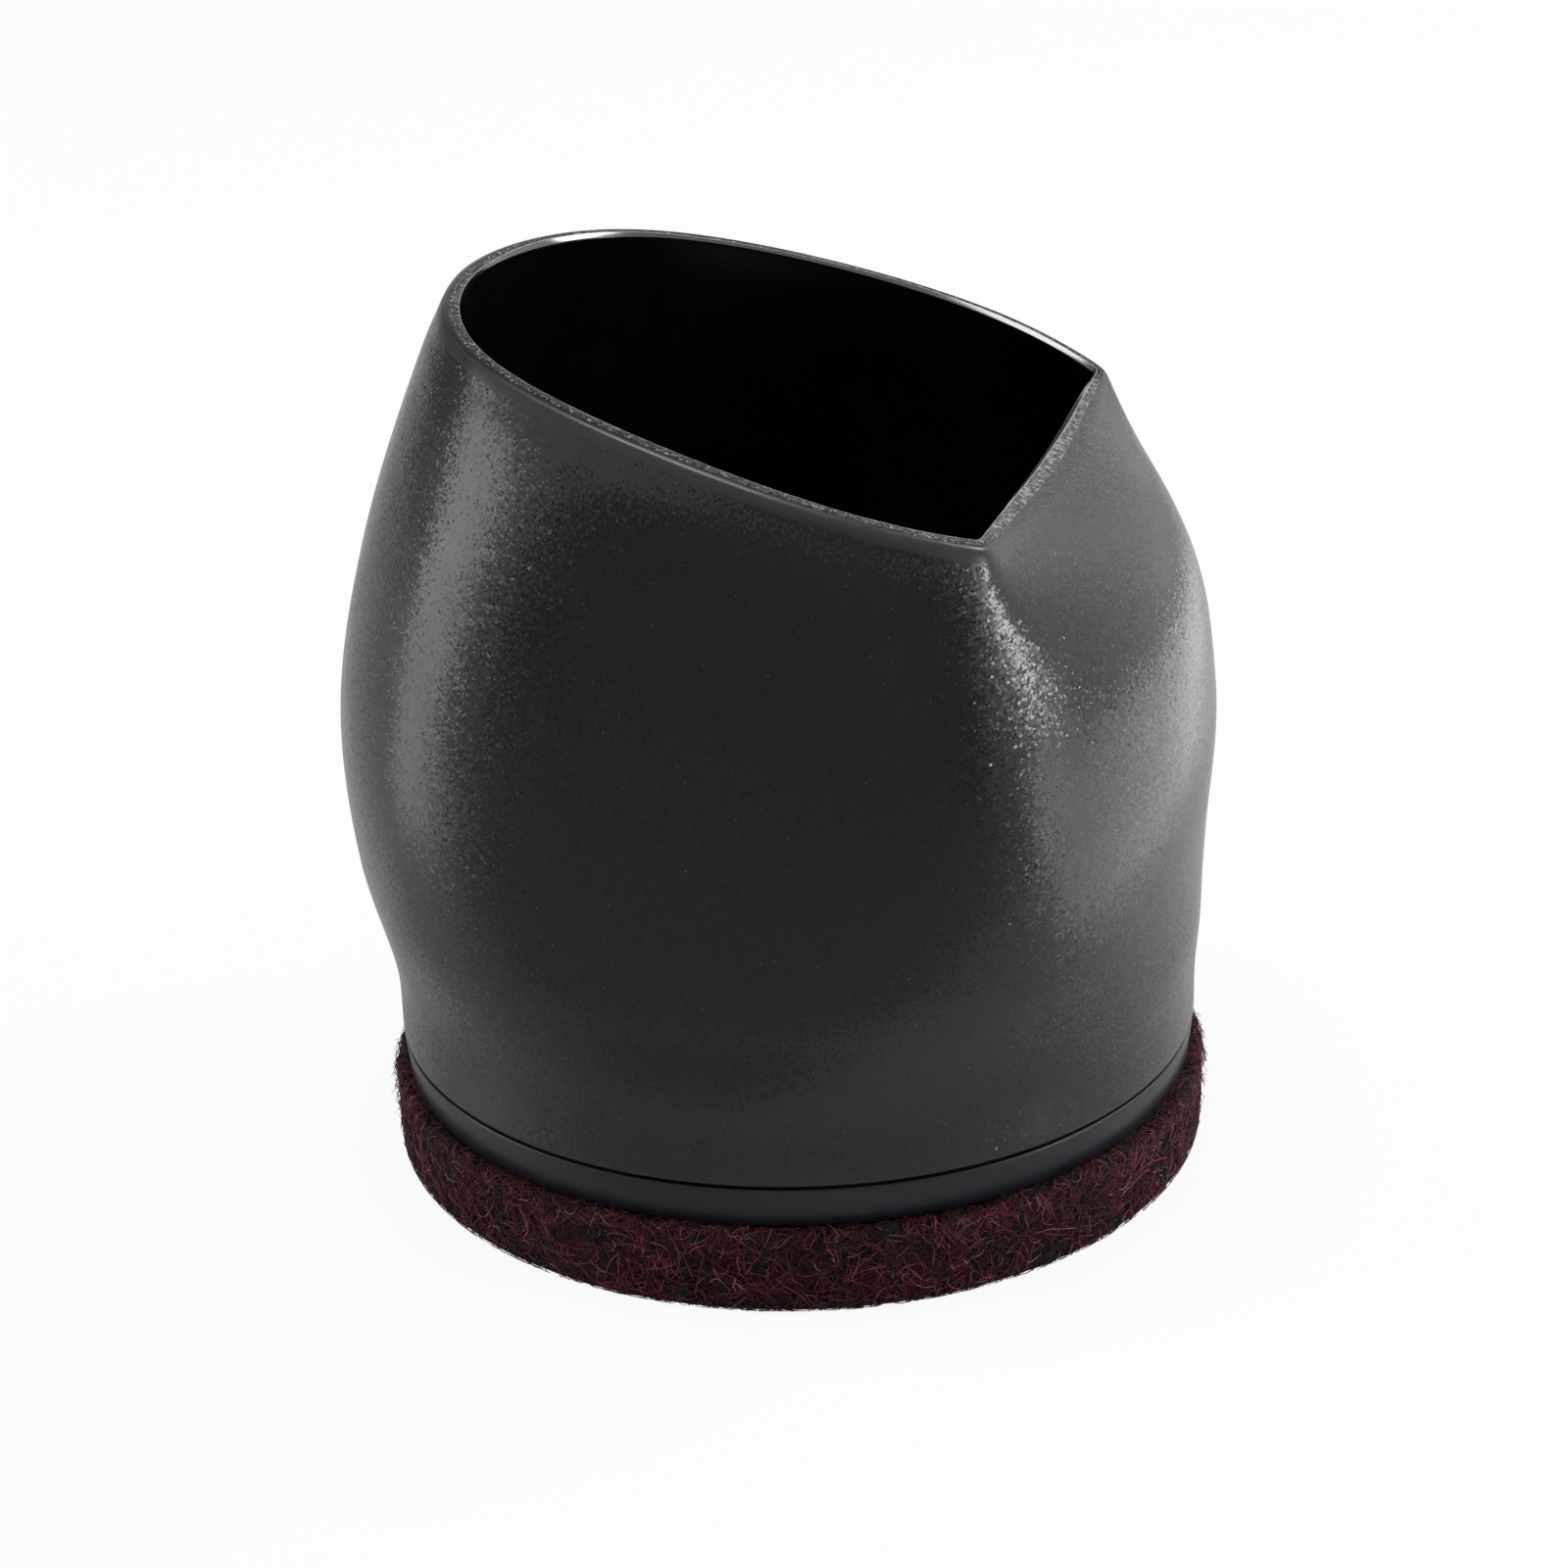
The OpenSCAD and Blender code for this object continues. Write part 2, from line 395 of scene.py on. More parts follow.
def glossy_vinyl():
    """The cup's glossy inside."""
    material, tree, shader, place = new_material("cup_glossy_vinyl")
    waves = noise_at(tree, place, 5, detail=2)
    set_bump(tree, shader, waves, 0.05, 0.3)
    colour = ramp(tree, waves, [(0.3, (0.002, 0.002, 0.002)), (0.7, (0.004, 0.004, 0.004))])
    tree.links.new(colour, shader.inputs["Base Color"])
    tree.links.new(remap(tree, waves, 0.16, 0.24), shader.inputs["Roughness"])
    shader.inputs["Specular IOR Level"].default_value = 0.4
    return material


def satin_plastic():
    """The base plate's smooth blue-black plastic, with faint scuffs."""
    material, tree, shader, place = new_material("plate_satin_plastic")
    cloudy = noise_at(tree, place, 4, detail=4)
    scuffs = noise_at(tree, place, 0.5, detail=3)
    set_bump(tree, shader, scuffs, 0.01, 0.25)
    colour = ramp(tree, cloudy, [(0.3, (0.006, 0.007, 0.0105)), (0.7, (0.009, 0.0103, 0.0145))])
    tree.links.new(colour, shader.inputs["Base Color"])
    tree.links.new(remap(tree, cloudy, 0.28, 0.36), shader.inputs["Roughness"])
    shader.inputs["Specular IOR Level"].default_value = 0.32
    return material


def adhesive():
    """Pale double-sided film with a few trapped bubbles."""
    material, tree, shader, place = new_material("film_adhesive")
    bubbles = noise_at(tree, place, 1.2, detail=3)
    colour = ramp(tree, bubbles, [(0.35, (0.42, 0.37, 0.26)), (0.65, (0.58, 0.53, 0.41))])
    tree.links.new(colour, shader.inputs["Base Color"])
    set_bump(tree, shader, bubbles, 0.03, 0.3)
    shader.inputs["Roughness"].default_value = 0.45
    return material


def needle_felt():
    """The mass of the felt under its loose fibres, mottled black and maroon."""
    material, tree, shader, place = new_material("felt_needled_mass")
    patches = noise_at(tree, place, 3.2, detail=3, roughness=0.6)
    hairs = noise_at(tree, place, 0.22, detail=4, roughness=0.7)
    both = add_node(
        tree, "ShaderNodeMix", {"Factor": 0.45, "A": patches, "B": hairs}
    ).outputs["Result"]
    colour = ramp(tree, both, [
        (0.38, (0.004, 0.003, 0.004)),
        (0.5, (0.022, 0.005, 0.007)),
        (0.62, (0.08, 0.014, 0.019)),
    ])
    tree.links.new(colour, shader.inputs["Base Color"])
    set_bump(tree, shader, hairs, 0.15, 0.8)
    shader.inputs["Roughness"].default_value = 0.95
    shader.inputs["Specular IOR Level"].default_value = 0.15
    return material


def fibre(name, stops, gloss):
    """One kind of felt fibre, each in its own shade and uneven along its length."""
    material, tree, shader, place = new_material(name)
    shade = add_node(tree, "ShaderNodeNewGeometry").outputs["Random Per Island"]
    along = noise_at(tree, place, 0.8, detail=2)
    both = add_node(
        tree, "ShaderNodeMix", {"Factor": 0.3, "A": shade, "B": along}
    ).outputs["Result"]
    tree.links.new(ramp(tree, both, stops), shader.inputs["Base Color"])
    shader.inputs["Roughness"].default_value = 0.6
    shader.inputs["Specular IOR Level"].default_value = gloss
    return material


# The cup's wall, on the same curves as its solid

def face_at(face, z):
    """Distance of a face from the axis at any height, on a smooth curve through its levels."""
    gaps = np.diff(LEVELS)
    rises = np.diff(face) / gaps
    inner = (rises[:-1] * gaps[1:] + rises[1:] * gaps[:-1]) / (gaps[1:] + gaps[:-1])
    slopes = np.concatenate([rises[:1], inner, rises[-1:]])
    i = np.clip(np.searchsorted(LEVELS, z) - 1, 0, len(LEVELS) - 2)
    h = gaps[i]
    u = (z - LEVELS[i]) / h
    return (
        face[i] * (1 + 2 * u) * (1 - u) ** 2
        + slopes[i] * h * u * (1 - u) ** 2
        + face[i + 1] * u * u * (3 - 2 * u)
        + slopes[i + 1] * h * u * u * (u - 1)
    )


def front_part(angles, z, front_r, round_r):
    """The front face as one over its distance, bent so that its corners meet the round body."""
    half = mix(HALF_BELLY, HALF_MOUTH, (z - BELLY_Z) / (MOUTH_Z - BELLY_Z))
    bend = np.log(front_r / round_r) / np.log(np.cos(half))
    ahead = np.cos(angles)
    return np.where(ahead > 0, np.maximum(ahead, TINY) ** bend / front_r, 0)


def reach(angles, z, inset):
    """Distance from the axis to the wall: the round body cut by the sides and the front."""
    side_power = mix(*SIDE_CORNER, (z - PARTING_Z) / (LEVELS[-1] - PARTING_Z))
    front_power = FRONT_CORNER * mix(1, INNER_GAIN, np.clip(inset / WALL, 0, 1))
    round_r = face_at(ROUND_FACE, z) - inset
    side_r = face_at(SIDE_FACE, z) - inset
    front_r = np.minimum(face_at(FRONT_FACE, z) - inset, round_r)
    side = (np.abs(np.sin(angles)) * round_r / side_r) ** side_power
    body = (1 + ease((z - SKIRT_Z) / FACE_H) * side) ** (1 / side_power) / round_r
    front = (front_part(angles, z, front_r, round_r) / body) ** front_power
    shown = ease((round_r - front_r) / FRONT_EASE)
    return 1 / (body * (1 + shown * front) ** (1 / front_power))


def rim_height(angles, inset):
    """Height at which the wall meets the slanted, slightly bowed cut of the rim."""
    z = np.full_like(angles, MOUTH_Z)
    for _ in range(RIM_HALVINGS):
        r = reach(angles, z, inset)
        x = r * np.cos(angles)
        y = r * np.sin(angles)
        cut = MOUTH_Z - x * math.tan(RIM_TILT) + RIM_BOW * (y * y - x * x) / BASE_R ** 2
        z = (z + cut) / 2
    return z


def wall_lean(angles, z):
    """Drop in height for each millimetre down the outer wall: 1 where the wall is upright."""
    return 1 / np.hypot(1, reach(angles, z, 0) - reach(angles, z - 1, 0))


def rough(generator, count, passes):
    """Uneven values round a closed ring, from -1 to 1, smoothed a few times."""
    values = generator.uniform(-1, 1, count)
    for _ in range(passes):
        values = (np.roll(values, 1) + 2 * values + np.roll(values, -1)) / 4
    return values / np.abs(values).max()


# Foot of the cup at the parting line: how far in from the outside, and how far up
FOOT_PROFILE = [(GROOVE + 0.4, 0.1), (0.16, 0.1), (0.05, 0.15), (0, 0.27)]

# The neck, where the wall draws in under the rim: how far in, and how far down the wall
NECK_PROFILE = [(0.1, 1.2), (0.13, 0.85), (0.17, 0.55), (0.24, 0.3)]

# The rim from its rounded edge over the trimmed ridge and the dark land to the lip, its bevel
# and the throat: how far in from the outside, how far below the cut, and how uneven
EDGE_PROFILE = [(0.31, 0.17, 0), (0.41, 0.1, 0), (0.5, 0.12, 0.01)]
RIDGE_PROFILE = [(0.55, 0.16, 0.04), (0.61, 0.06, 0.08), (0.71, 0.04, 0.09), (0.83, 0.09, 0.08)]
LAND_PROFILE = [(0.9, 0.2, 0.03), (0.94, 0.2, 0), (0.97, 0.12, 0)]
LIP_PROFILE = [(0.98, 0.06, 0), (1.02, 0.04, 0), (1.08, 0.055, 0)]
BEVEL_PROFILE = [(1.12, 0.085, 0), (1.16, 0.115, 0), (1.56, 0.415, 0)]
THROAT_PROFILE = [(1.6, 0.45, 0), (1.64, 0.52, 0), (1.66, 0.6, 0)]
RIM_SEED = 11

# How far below the rim the neck starts to draw in, and the gaps between the parts of the wall
NECK_FADE = 3.8
NECK_GAP = 0.2
GRAIN_GAP = 0.08
THROAT_GAP = 0.7
FOOT_GAP = 0.02

# Share of the outer wall's height at which its first ring lies
FIRST_RING = 0.01

# The trimming left the lip slimmer on one side
SLIM_LIP = 0.45

# The front begins where the cosine of the angle passes the first value, and is full when it has
# risen by the second. There the wall leans in, and the edge is worn down further. Where the
# wall leans in past the last value, the rim is drawn with a paler colour, painted as sheen.
FRONT_BEGINS = 0.4
FRONT_BLEND = 0.2
FRONT_NECK = 1.5
FRONT_FADE = 9
FRONT_ROUND = 0.6
SHEEN_PAINTED_LEAN = 0.86


def build_cup():
    angles = around(CUP_STEPS)
    generator = np.random.default_rng(RIM_SEED)
    rings = []
    kinds = []

    def add(inset, z, kind):
        rings.append(ring_xyz(angles, reach(angles, z, inset + SKIN_INSET), z))
        kinds.append(np.broadcast_to(kind, CUP_STEPS))

    grained, smooth, trimmed, painted_sheen, pale, polished, glossy = range(7)
    materials = [
        grained_vinyl(), smooth_vinyl(), trimmed_vinyl(),
        rough_vinyl_painted_sheen(), lip_painted_highlight_vinyl(), polished_vinyl(), glossy_vinyl(),
    ]
    outer_rim = rim_height(angles, 0)
    inner_rim = rim_height(angles, WALL)
    lean = wall_lean(angles, outer_rim)
    ahead = ease((np.cos(angles) - FRONT_BEGINS) / FRONT_BLEND)
    front_in = FRONT_NECK * (1 - lean) * ahead
    at_front = lean < mix(0, SHEEN_PAINTED_LEAN, ahead)
    slim = mix(SLIM_LIP, 1, ease(2 * np.sin(angles)))

    # Up the outside, drawing in a little under the rim
    for inset, rise in FOOT_PROFILE:
        add(inset, PARTING_Z + rise, smooth)
    groove_top = PARTING_Z + GROOVE
    add(0, groove_top + GRAIN_GAP, grained)
    neck_in, neck_h = NECK_PROFILE[0]
    for share in np.linspace(FIRST_RING, 1, OUTER_RINGS):
        z = mix(groove_top, outer_rim - (neck_h + NECK_GAP) * lean, share)
        down = (outer_rim - z) / lean
        drawn_in = neck_in * ease((NECK_FADE - down) / (NECK_FADE - neck_h))
        worn_in = front_in * np.clip((FRONT_FADE - down) / (FRONT_FADE - neck_h), 0, 1) ** 2
        add(drawn_in + worn_in, z, grained)

    # Over the rim, whose profile is narrower and flatter where the wall leans in
    for inset, drop in NECK_PROFILE:
        add(inset + front_in, outer_rim - drop * lean, np.where(at_front, grained, smooth))
    for profile, kind, size in (
        # At the front, the rim's edge, ridge and land are painted paler as sheen
        (EDGE_PROFILE, np.where(at_front, painted_sheen, smooth), 1),
        (RIDGE_PROFILE, np.where(at_front, painted_sheen, trimmed), 1),
        (LAND_PROFILE, np.where(at_front, painted_sheen, trimmed), 1),
        # The lip, whose pale colour is a painted highlight
        (LIP_PROFILE, pale, slim),
        (BEVEL_PROFILE, polished, slim),
        (THROAT_PROFILE, glossy, slim),
    ):
        for inset, drop, uneven in profile:
            within = (WALL - inset) * size * lean ** (1 + ahead)
            in_here = WALL - within + uneven * rough(generator, CUP_STEPS, passes=2)
            torn = uneven * np.abs(rough(generator, CUP_STEPS, passes=1))
            drop_here = drop * lean ** 3 + FRONT_ROUND * (1 - lean) * (WALL - inset)
            add(in_here, rim_height(angles, in_here) - drop_here - torn, kind)

    # Down the inside and past the snap bead
    inside = WALL - 2 * SKIN_INSET
    for share in np.linspace(1, 0, INNER_RINGS):
        add(inside, mix(SPIGOT_Z, inner_rim - THROAT_GAP, share), glossy)
    bead_z = PARTING_Z + BEAD_RISE
    add(inside, bead_z + BEAD_H / 2, glossy)
    add(inside + BEAD_DEPTH, bead_z, glossy)
    add(inside, bead_z - BEAD_H / 2, glossy)
    add(inside, PARTING_Z + FOOT_GAP, smooth)

    points = np.concatenate(rings)
    faces = quads_between(len(rings), CUP_STEPS, closed=True)
    face_kinds = np.concatenate(kinds)
    return new_piece(
        "cup_skin", points, faces, materials, face_kinds, stands_for=["cup_shell"]
    )


# Base plate: the visible band with broken edges, the wheel floor and the spigot ring
BAND_DRAFT = 0.4
SPIGOT_T = 2
SPIGOT_LEAD = 0.5
EDGE_BREAK = 0.12

# The band's rounded top edge, which runs into the parting line: how far in, and how far up
BAND_EDGE = [(0.06, 0), (0.07, 0.09), (0.16, 0.15), (GROOVE + 0.4, 0.18)]
GROOVE_BACK = GROOVE + 0.45

# The fillet between spigot and wheel floor: how far in, and how far up
FLOOR_FILLET = [(0, 0.4), (0.1, 0.1), (0.4, 0)]

# A flat face has a ring this far from its edge, which keeps its shading flat
FLAT_RING = 3


def build_plate():
    spigot_r = BASE_R - WALL - FIT_GAP
    spigot_in = spigot_r - SPIGOT_T
    band_low = BASE_R - BAND_DRAFT
    bead_z = PARTING_Z + BEAD_RISE
    under_z = PLATE_Z + SKIN_INSET
    spigot_top = SPIGOT_Z - SKIN_INSET
    outline = [
        (0, under_z),
        (band_low - FLAT_RING, under_z),
        (band_low - EDGE_BREAK, under_z),
        (band_low - EDGE_BREAK / 3, PLATE_Z + EDGE_BREAK / 3),
        (band_low, PLATE_Z + EDGE_BREAK),
        *[(BASE_R - inset, PARTING_Z - GROOVE + rise) for inset, rise in BAND_EDGE],
        (BASE_R - GROOVE_BACK, PARTING_Z - SKIN_INSET),
        (spigot_r, PARTING_Z - SKIN_INSET),
        (spigot_r, bead_z - BEAD_H / 2 - FIT_GAP),
        (spigot_r - BEAD_DEPTH, bead_z - FIT_GAP),
        (spigot_r - BEAD_DEPTH, bead_z + FIT_GAP),
        (spigot_r, bead_z + BEAD_H / 2 + FIT_GAP),
        (spigot_r, SPIGOT_Z - SPIGOT_LEAD),
        (spigot_r - SPIGOT_LEAD, spigot_top),
        (spigot_in + EDGE_BREAK, spigot_top),
        (spigot_in + EDGE_BREAK / 3, SPIGOT_Z - EDGE_BREAK / 3),
        (spigot_in, SPIGOT_Z - EDGE_BREAK),
        *[(spigot_in - inset, PARTING_Z + rise) for inset, rise in FLOOR_FILLET],
        (spigot_in - FLAT_RING, PARTING_Z),
        (0, PARTING_Z),
    ]
    points, faces = lathe(outline, PLATE_STEPS)
    return new_piece(
        "plate_body", points, faces, [satin_plastic()], stands_for=["base_plate"]
    )


# Felt: an uneven disc with rounded edges, and loose fibres lying on it
FELT_EDGE = 0.6
FELT_ARC = FELT_EDGE * math.pi / 2
FELT_SIDE = FELT_T - 2 * FELT_EDGE
FELT_WAY = 2 * FELT_ARC + FELT_SIDE
FELT_TOP = 1.5
FELT_LUMP = 0.12
LUMP_PASSES = 3
FELT_SEED = 23
FLOOR_GAP = 0.02


def felt_surface(turn, along, lift):
    """A point on or over the felt. along runs from the underside up the side and onto the top."""
    low = along / FELT_EDGE
    high = (along - FELT_ARC - FELT_SIDE) / FELT_EDGE
    quarter = math.pi / 2
    tilt = np.where(along < FELT_ARC, low - quarter, np.clip(high, 0, quarter))
    tilt = np.clip(tilt, -quarter, quarter)
    mid_z = np.clip(along - FELT_ARC, 0, FELT_SIDE) + FELT_EDGE
    past = np.maximum(along - FELT_WAY, 0)
    radius = FELT_R - FELT_EDGE + (FELT_EDGE + lift) * np.cos(tilt) - past
    height = mid_z + (FELT_EDGE + lift) * np.sin(tilt)
    return np.stack(
        [radius * np.cos(turn), radius * np.sin(turn), np.maximum(height, FLOOR_GAP)], axis=-1
    )


def build_felt_body():
    generator = np.random.default_rng(FELT_SEED)
    turn = around(FELT_STEPS)
    alongs = np.linspace(0, FELT_WAY + FELT_TOP, FELT_RINGS)
    lumps = generator.uniform(-1, 1, (FELT_RINGS, FELT_STEPS))
    for _ in range(LUMP_PASSES):
        lumps = (np.roll(lumps, 1, 1) + 2 * lumps + np.roll(lumps, -1, 1)) / 4
        padded = np.pad(lumps, ((1, 1), (0, 0)), mode="edge")
        lumps = (padded[:-2] + 2 * padded[1:-1] + padded[2:]) / 4
    lumps = FELT_LUMP * lumps / np.abs(lumps).max() - FELT_LUMP
    lumps[0] = 0
    rings = [felt_surface(turn, np.full(FELT_STEPS, a), row) for a, row in zip(alongs, lumps)]
    points, faces = capped(rings, FLOOR_GAP, FELT_T - FELT_LUMP)
    piece = new_piece(
        "felt_body", points, faces, [needle_felt()], stands_for=["felt_pad"]
    )
    return piece


# Fibres: points along each, its sides, how much it curls and wanders, how far a loose end
# stands off, how far onto the top and down the side they reach, the height over which they
# begin to stand off, and how thin their ends are
FIBRE_JOINTS = 7
FIBRE_SIDES = 3
FIBRE_CURL = 0.6
FIBRE_WANDER = 0.16
FIBRE_LOOSE = (0.1, 0.5)
FIBRE_TOP = 0.7
FIBRE_LOWEST = 0.35
FIBRE_LYING = 3
FIBRE_END = 0.25

# Fibres of one colour stay off the patches where the waves are under this value
PATCH_LIMIT = -0.25


def patches_at(across, along):
    """Waves over the felt's side, from -1 to 1, that part maroon patches from black ones."""
    return np.sin(0.55 * across + 2 * np.sin(0.8 * along)) * np.sin(1.1 * along + 0.21 * across)


def fibre_paths(generator, tries, length, lift, loose, patch, lowest):
    """Middle lines of curly fibres on the felt's side and edges, some with an end loose."""
    span = FELT_WAY + FIBRE_TOP
    across = generator.uniform(0, 2 * math.pi * FELT_R, (tries, 1))
    along = generator.uniform(lowest, span, (tries, 1))
    keep = (patch * patches_at(across, along) > PATCH_LIMIT)[:, 0]
    across = across[keep]
    along = along[keep]
    count = len(across)
    step = generator.uniform(*length, (count, 1)) / (FIBRE_JOINTS - 1)
    heading = generator.uniform(0, 2 * math.pi, (count, 1))
    curl = generator.normal(0, FIBRE_CURL, (count, 1))
    wander = np.cumsum(generator.normal(0, FIBRE_WANDER, (count, FIBRE_JOINTS)), axis=1)
    heading = heading + curl * np.linspace(-1, 1, FIBRE_JOINTS) + wander
    across = across + np.cumsum(step * np.cos(heading), axis=1)
    along = along + np.cumsum(step * np.sin(heading), axis=1)
    along = np.abs(along - FIBRE_LOWEST) + FIBRE_LOWEST
    along = span - np.abs(span - along)
    off = generator.uniform(*lift, (count, 1)) * np.ones(FIBRE_JOINTS)
    stands = generator.uniform(0, 1, (count, 1)) < loose
    loose_end = generator.uniform(*FIBRE_LOOSE, (count, 1)) * np.linspace(0, 1, FIBRE_JOINTS) ** 2
    off = (off + stands * loose_end) * ease(along / FIBRE_LYING)
    return felt_surface(across / FELT_R, along, off)


def tubes_along(centres, radius):
    """Points and faces of a thin tube along each middle line, closed at its two ends."""
    tangent = np.gradient(centres, axis=1)
    tangent /= np.linalg.norm(tangent, axis=2, keepdims=True) + TINY
    outward = centres * np.array([1, 1, 0])
    outward /= np.linalg.norm(outward, axis=2, keepdims=True)
    beside = np.cross(tangent, outward)
    beside /= np.linalg.norm(beside, axis=2, keepdims=True) + TINY
    above = np.cross(beside, tangent)
    spokes = []
    for turn in around(FIBRE_SIDES):
        spoke = beside * math.cos(turn) + above * math.sin(turn)
        spokes.append(centres + spoke * radius[..., None])
    points = np.stack(spokes, axis=2)
    points[..., 2] = np.maximum(points[..., 2], FLOOR_GAP)
    faces = []
    for k in range(len(centres)):
        first = k * FIBRE_JOINTS * FIBRE_SIDES
        last = first + (FIBRE_JOINTS - 1) * FIBRE_SIDES
        for low in range(first, last, FIBRE_SIDES):
            high = low + FIBRE_SIDES
            for side in range(FIBRE_SIDES):
                n = (side + 1) % FIBRE_SIDES
                faces.append((low + side, low + n, high + n, high + side))
        faces.append(tuple(reversed(range(first, first + FIBRE_SIDES))))
        faces.append(tuple(range(last, last + FIBRE_SIDES)))
    return points.reshape(-1, 3), faces


def build_fibres(name, material, tries, length, thick, lift, loose, patch, lowest, seed):
    """Fibres that lie on the felt, each a tube that thins out at its two ends."""
    generator = np.random.default_rng(seed)
    centres = fibre_paths(generator, tries, length, lift, loose, patch, lowest)
    taper = np.sin(np.linspace(FIBRE_END, math.pi - FIBRE_END, FIBRE_JOINTS)) ** 0.5
    radius = generator.uniform(*thick, (len(centres), 1)) * taper
    points, faces = tubes_along(centres, radius)
    return new_piece(name, points, faces, [material])


# Stage and lights, with lengths in metres

# Half the floor's width, and the share of plain white in it as the camera sees it
FLOOR_HALF = 2.5
FLOOR_WHITE = 0.93

# Strength of the surround as a light, how far the screens are above the floor, how far away
# most lamps stand, and the nearest distance that the camera shows
WORLD_LIGHT = 0.18
SCREEN_LIFT = 0.0005
LAMP_DISTANCE = 0.6
CLIP_START = 0.01

# Sizes of the lamps in a soft light, as shares of its own
LAMP_SPREADS = (0.6, 1, 1.5)


def new_sheet(name, corners, material):
    """A flat sheet with four corners."""
    mesh = bpy.data.meshes.new(name)
    mesh.from_pydata(corners, [], [(0, 1, 2, 3)])
    mesh.materials.append(material)
    return new_object(name, mesh)


def build_floor():
    """A pale, glossy floor that shows white and keeps part of the object's shadow."""
    material = bpy.data.materials.new("floor_white")
    material.use_nodes = True
    tree = material.node_tree
    tree.nodes.clear()
    sheet = add_node(
        tree, "ShaderNodeBsdfPrincipled", {"Base Color": (0.8, 0.8, 0.8, 1), "Roughness": 0.25}
    )
    white = add_node(tree, "ShaderNodeEmission", {"Color": (1, 1, 1, 1), "Strength": 1})
    path = add_node(tree, "ShaderNodeLightPath")
    shown = add_node(
        tree, "ShaderNodeMath",
        {0: path.outputs["Is Camera Ray"], 1: FLOOR_WHITE}, operation="MULTIPLY",
    )
    both = add_node(
        tree, "ShaderNodeMixShader",
        {0: shown.outputs[0], 1: sheet.outputs[0], 2: white.outputs[0]},
    )
    add_node(tree, "ShaderNodeOutputMaterial", {"Surface": both.outputs[0]})
    half = FLOOR_HALF
    corners = [(-half, -half, 0), (half, -half, 0), (half, half, 0), (-half, half, 0)]
    floor = new_sheet("floor", corners, material)


def seen_directly(tree):
    """1 for camera, glossy and transmission rays, and 0 for the rays that carry light."""
    path = add_node(tree, "ShaderNodeLightPath")
    first = add_node(
        tree, "ShaderNodeMath",
        {0: path.outputs["Is Camera Ray"], 1: path.outputs["Is Glossy Ray"]},
        operation="MAXIMUM",
    )
    return add_node(
        tree, "ShaderNodeMath",
        {0: first.outputs[0], 1: path.outputs["Is Transmission Ray"]},
        operation="MAXIMUM",
    ).outputs[0]


def build_world():
    """A white surround to look at, which gives a softer grey light."""
    world = bpy.data.worlds.new("studio")
    world.use_nodes = True
    tree = world.node_tree
    tree.nodes.clear()
    light = add_node(tree, "ShaderNodeBackground", {"Color": (1, 1, 1, 1), "Strength": WORLD_LIGHT})
    white = add_node(tree, "ShaderNodeBackground", {"Color": (1, 1, 1, 1), "Strength": 1})
    both = add_node(
        tree, "ShaderNodeMixShader",
        {0: seen_directly(tree), 1: light.outputs[0], 2: white.outputs[0]},
    )
    add_node(tree, "ShaderNodeOutputWorld", {"Surface": both.outputs[0]})
    bpy.context.scene.world = world


def from_direction(azimuth, elevation):
    """Unit vector towards a direction: azimuth 0 is in front, at -Y, and 90 is at +X."""
    azimuth = math.radians(azimuth)
    elevation = math.radians(elevation)
    flat = math.cos(elevation)
    return Vector((math.sin(azimuth) * flat, -math.cos(azimuth) * flat, math.sin(elevation)))


def build_screen(name, azimuth, distance, width, low, high, grey, lying=False):
    """A grey screen that stands, or lies and runs inwards. Only reflections show it."""
    material, _, shader, _ = new_material(name + "_grey")
    shader.inputs["Base Color"].default_value = (grey, grey, grey, 1)
    shader.inputs["Roughness"].default_value = 0.9
    half = width / 2
    corners = [(-half, 0, low), (half, 0, low), (half, 0, high), (-half, 0, high)]
    screen = new_sheet(name, corners, material)
    screen.location = from_direction(azimuth, 0) * distance + Vector((0, 0, SCREEN_LIFT))
    screen.rotation_euler = (math.radians(-90 if lying else 0), 0, math.radians(azimuth))
    screen.visible_camera = False
    screen.visible_diffuse = False
    screen.visible_shadow = False


def build_light(name, azimuth, elevation, width, height, watts, distance=LAMP_DISTANCE, lying=False):
    """A rectangular lamp that faces the object's middle, or lies facing up."""
    lamp = bpy.data.lights.new(name, "AREA")
    lamp.shape = "RECTANGLE"
    lamp.size = width
    lamp.size_y = height
    lamp.energy = watts
    holder = new_object(name, lamp)
    towards = from_direction(azimuth, elevation)
    middle = (cad_box[0] + cad_box[1]) / 2
    holder.location = middle + towards * distance
    behind = Vector((0, 0, -1)) if lying else towards
    holder.rotation_euler = behind.to_track_quat("Z", "Y").to_euler()
    holder.visible_camera = False


def build_soft_light(name, azimuth, elevation, width, height, watts):
    """Lamps inside each other, so that their reflection fades out towards its edges."""
    for spread in LAMP_SPREADS:
        share = spread ** 2 / len(LAMP_SPREADS)
        build_light(
            f"{name}_{spread}", azimuth, elevation,
            width * spread, height * spread, watts * share,
        )


# Camera, as fitted to the photograph: angles in degrees, and its place in millimetres
IMAGE_SIZE = 1600
FOCAL_PIXELS = 3895.3
SENSOR_WIDTH = 36
CAMERA_AZIMUTH = 16.268
CAMERA_ELEVATION = 23.554
CAMERA_ROLL = 1.509
CAMERA_DISTANCE = 308.55
CAMERA_ASIDE = 1.369
CAMERA_RISE = 25.995


